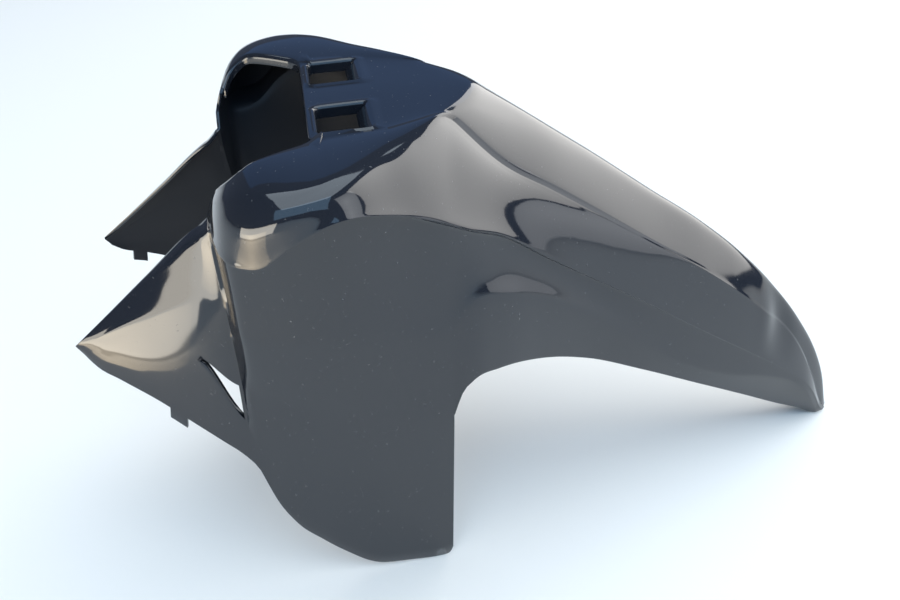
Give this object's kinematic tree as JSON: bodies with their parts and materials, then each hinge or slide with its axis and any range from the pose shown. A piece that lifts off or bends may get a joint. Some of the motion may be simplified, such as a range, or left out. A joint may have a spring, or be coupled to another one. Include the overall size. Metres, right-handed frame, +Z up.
{
  "type": "motorcycle front mudguard",
  "caption": "Thin moulded front mudguard with a flat deck and stem opening, a long downturned nose, deep side skirts and rear flaps.",
  "frame": {"origin": "middle of the length and width, on the plane that the skirts and the nose rest on", "axes": "+X forward towards the nose, +Y to the left, +Z up"},
  "size_m": [0.6, 0.2706, 0.3372],
  "materials": {
    "gloss_black": "high gloss black, moulded in colour, plain satin on the inside"
  },
  "bodies": {
    "root": {"mudguard_shell": "gloss_black"}
  },
  "joints": []
}
